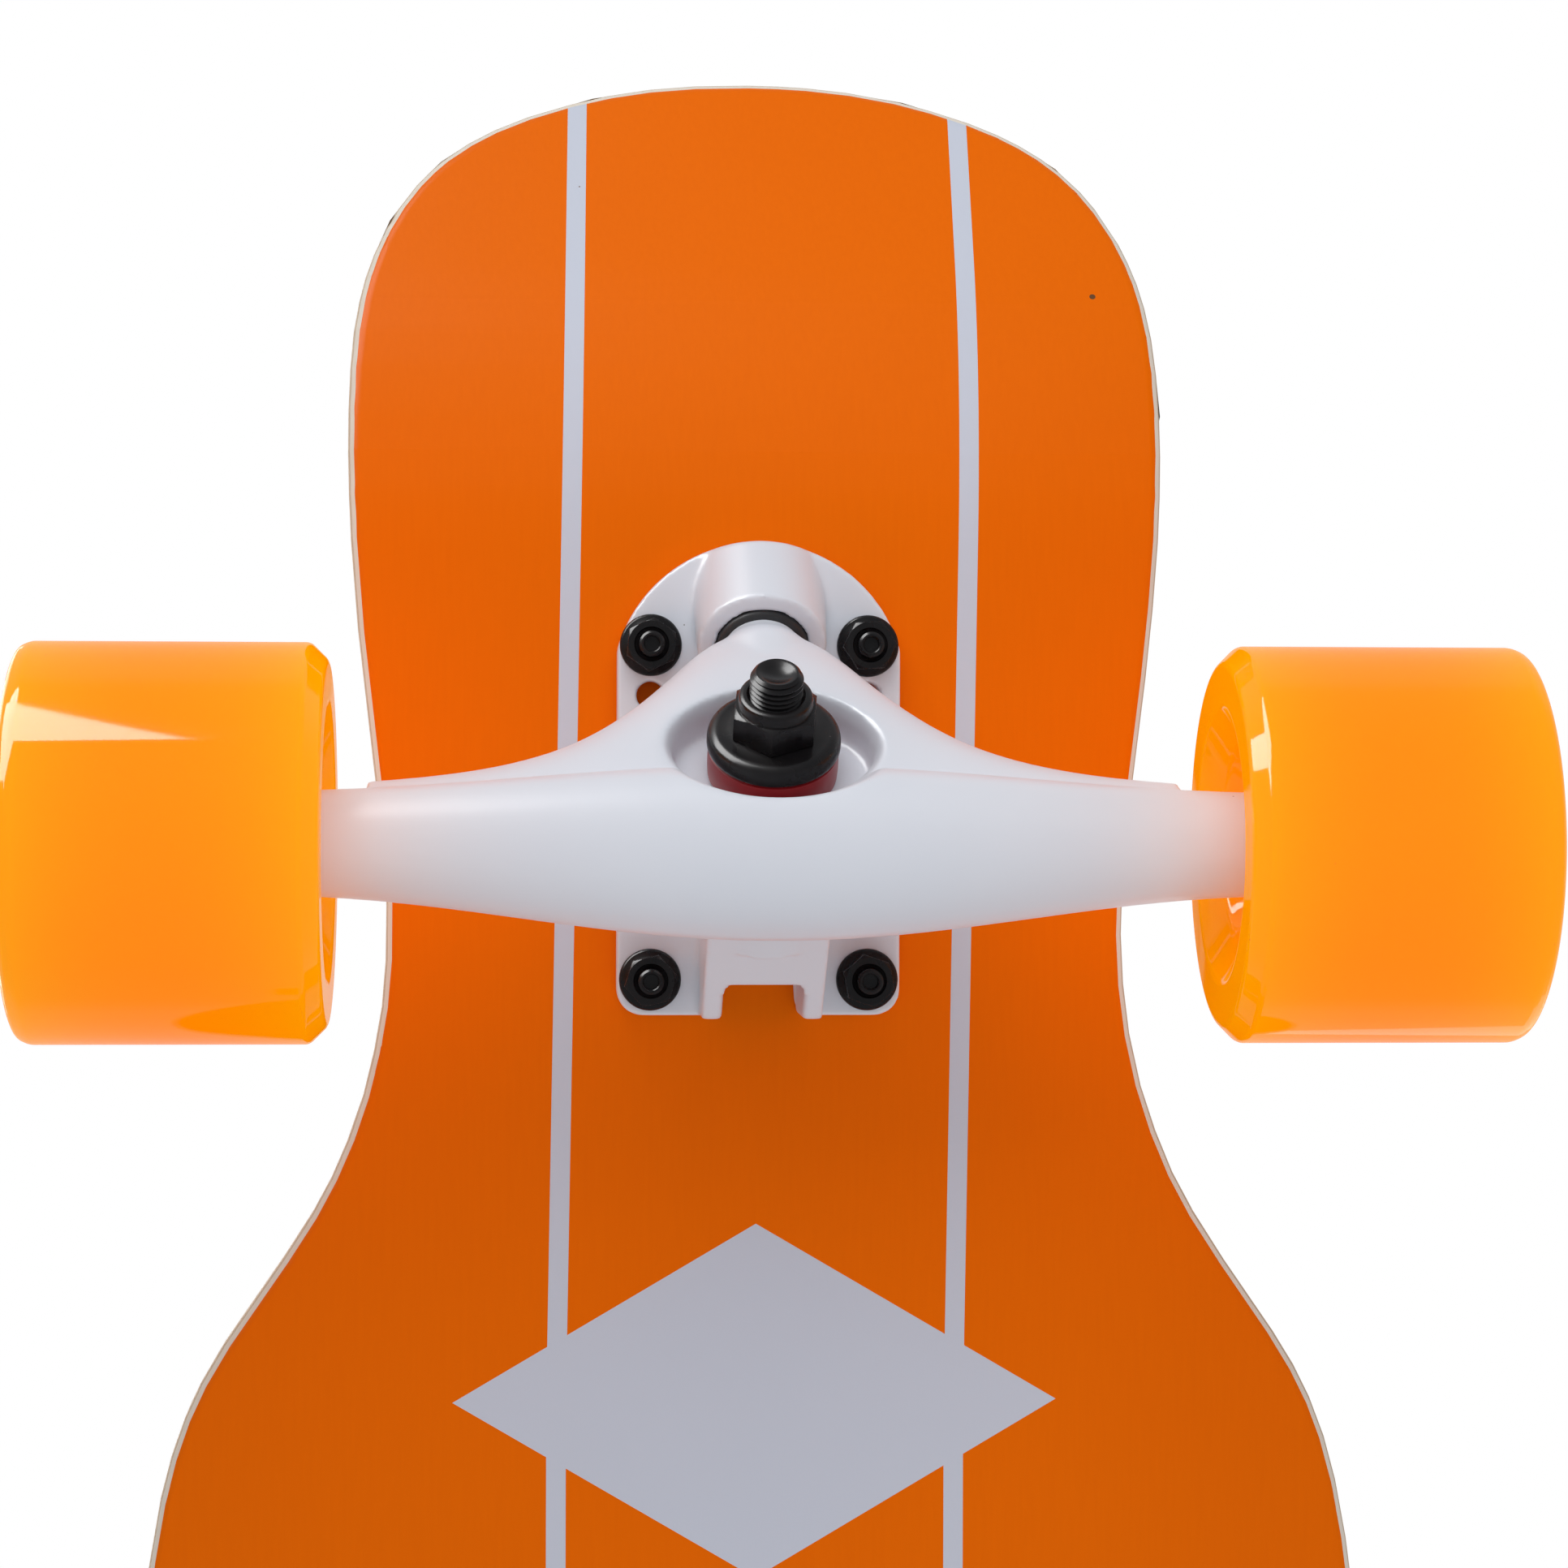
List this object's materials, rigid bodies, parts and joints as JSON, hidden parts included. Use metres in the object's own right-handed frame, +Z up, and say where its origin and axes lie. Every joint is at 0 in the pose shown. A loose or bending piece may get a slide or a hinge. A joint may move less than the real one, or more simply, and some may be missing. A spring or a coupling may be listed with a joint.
{
  "type": "longboard skateboard",
  "caption": "Longboard skateboard with a drop-waist kicked wooden deck, reverse-kingpin cast trucks that lean on bushings, and urethane wheels on ball bearings.",
  "frame": {"origin": "on the ground under the middle of the board", "axes": "+X along the board towards the nose, +Y to the left, +Z up"},
  "size_m": [1.044, 0.264, 0.1532],
  "materials": {
    "deck_wood": "orange gloss lacquer on maple ply",
    "grip": "black grit sheet",
    "white_cast": "white gloss powder coat",
    "black_urethane": "satin",
    "red_urethane": "satin",
    "black_steel": "black oxide",
    "bare_steel": "zinc plated",
    "bearing_steel": "ground",
    "shield_steel": "pressed",
    "cage_nylon": "natural",
    "orange_urethane": "translucent gloss"
  },
  "bodies": {
    "root": {"deck": "deck_wood", "grip_tape": "grip", "front_baseplate": "white_cast", "front_pivot_cup": "black_urethane", "front_kingpin": "black_steel", "front_kingpin_nut": "black_steel", "front_roadside_washer": "black_steel", "front_boardside_washer": "black_steel", "front_roadside_bushing": "red_urethane", "front_boardside_bushing": "red_urethane", "front_mounting_bolts": "black_steel", "front_mounting_nuts": "black_steel", "rear_baseplate": "white_cast", "rear_pivot_cup": "black_urethane", "rear_kingpin": "black_steel", "rear_kingpin_nut": "black_steel", "rear_roadside_washer": "black_steel", "rear_boardside_washer": "black_steel", "rear_roadside_bushing": "red_urethane", "rear_boardside_bushing": "red_urethane", "rear_mounting_bolts": "black_steel", "rear_mounting_nuts": "black_steel"},
    "front_hanger_body": {"front_hanger": "white_cast", "front_axle": "bare_steel", "front_axle_nuts": "bare_steel", "front_speed_washers": "bare_steel", "front_bearing_spacers": "bare_steel", "front_left_bearing_inner_rings": "bearing_steel", "front_right_bearing_inner_rings": "bearing_steel"},
    "front_left_wheel_body": {"front_left_wheel": "orange_urethane", "front_left_bearing_outer_rings": "bearing_steel", "front_left_bearing_shields": "shield_steel"},
    "front_left_cage_body": {"front_left_bearing_balls": "bearing_steel", "front_left_bearing_cages": "cage_nylon"},
    "front_right_wheel_body": {"front_right_wheel": "orange_urethane", "front_right_bearing_outer_rings": "bearing_steel", "front_right_bearing_shields": "shield_steel"},
    "front_right_cage_body": {"front_right_bearing_balls": "bearing_steel", "front_right_bearing_cages": "cage_nylon"},
    "rear_hanger_body": {"rear_hanger": "white_cast", "rear_axle": "bare_steel", "rear_axle_nuts": "bare_steel", "rear_speed_washers": "bare_steel", "rear_bearing_spacers": "bare_steel", "rear_left_bearing_inner_rings": "bearing_steel", "rear_right_bearing_inner_rings": "bearing_steel"},
    "rear_left_wheel_body": {"rear_left_wheel": "orange_urethane", "rear_left_bearing_outer_rings": "bearing_steel", "rear_left_bearing_shields": "shield_steel"},
    "rear_left_cage_body": {"rear_left_bearing_balls": "bearing_steel", "rear_left_bearing_cages": "cage_nylon"},
    "rear_right_wheel_body": {"rear_right_wheel": "orange_urethane", "rear_right_bearing_outer_rings": "bearing_steel", "rear_right_bearing_shields": "shield_steel"},
    "rear_right_cage_body": {"rear_right_bearing_balls": "bearing_steel", "rear_right_bearing_cages": "cage_nylon"}
  },
  "joints": [
    {"name": "front_steer", "type": "hinge", "parent": "root", "child": "front_hanger_body", "pos_m": [0.3803, 0, 0.0534], "axis": [0.6428, 0, 0.766], "range_deg": [-20, 20], "stiffness_Nm_per_rad": 60, "deforming": ["front_roadside_bushing", "front_boardside_bushing"]},
    {"name": "front_left_spin", "type": "hinge", "parent": "front_hanger_body", "child": "front_left_wheel_body", "pos_m": [0.37, 0.103, 0.035], "axis": [0, 1, 0], "continuous": true},
    {"name": "front_left_cage_spin", "type": "hinge", "parent": "front_hanger_body", "child": "front_left_cage_body", "pos_m": [0.37, 0.103, 0.035], "axis": [0, 1, 0], "continuous": true},
    {"name": "front_right_spin", "type": "hinge", "parent": "front_hanger_body", "child": "front_right_wheel_body", "pos_m": [0.37, -0.103, 0.035], "axis": [0, 1, 0], "continuous": true},
    {"name": "front_right_cage_spin", "type": "hinge", "parent": "front_hanger_body", "child": "front_right_cage_body", "pos_m": [0.37, -0.103, 0.035], "axis": [0, 1, 0], "continuous": true},
    {"name": "rear_steer", "type": "hinge", "parent": "root", "child": "rear_hanger_body", "pos_m": [-0.3803, 0, 0.0534], "axis": [-0.6428, 0, 0.766], "range_deg": [-20, 20], "stiffness_Nm_per_rad": 60, "deforming": ["rear_roadside_bushing", "rear_boardside_bushing"]},
    {"name": "rear_left_spin", "type": "hinge", "parent": "rear_hanger_body", "child": "rear_left_wheel_body", "pos_m": [-0.37, 0.103, 0.035], "axis": [0, 1, 0], "continuous": true},
    {"name": "rear_left_cage_spin", "type": "hinge", "parent": "rear_hanger_body", "child": "rear_left_cage_body", "pos_m": [-0.37, 0.103, 0.035], "axis": [0, 1, 0], "continuous": true},
    {"name": "rear_right_spin", "type": "hinge", "parent": "rear_hanger_body", "child": "rear_right_wheel_body", "pos_m": [-0.37, -0.103, 0.035], "axis": [0, 1, 0], "continuous": true},
    {"name": "rear_right_cage_spin", "type": "hinge", "parent": "rear_hanger_body", "child": "rear_right_cage_body", "pos_m": [-0.37, -0.103, 0.035], "axis": [0, 1, 0], "continuous": true}
  ],
  "couplings": [
    {"joint": "front_left_cage_spin", "follows": "front_left_spin", "ratio": 0.63233},
    {"joint": "front_right_cage_spin", "follows": "front_right_spin", "ratio": 0.63233},
    {"joint": "rear_left_cage_spin", "follows": "rear_left_spin", "ratio": 0.63233},
    {"joint": "rear_right_cage_spin", "follows": "rear_right_spin", "ratio": 0.63233}
  ]
}
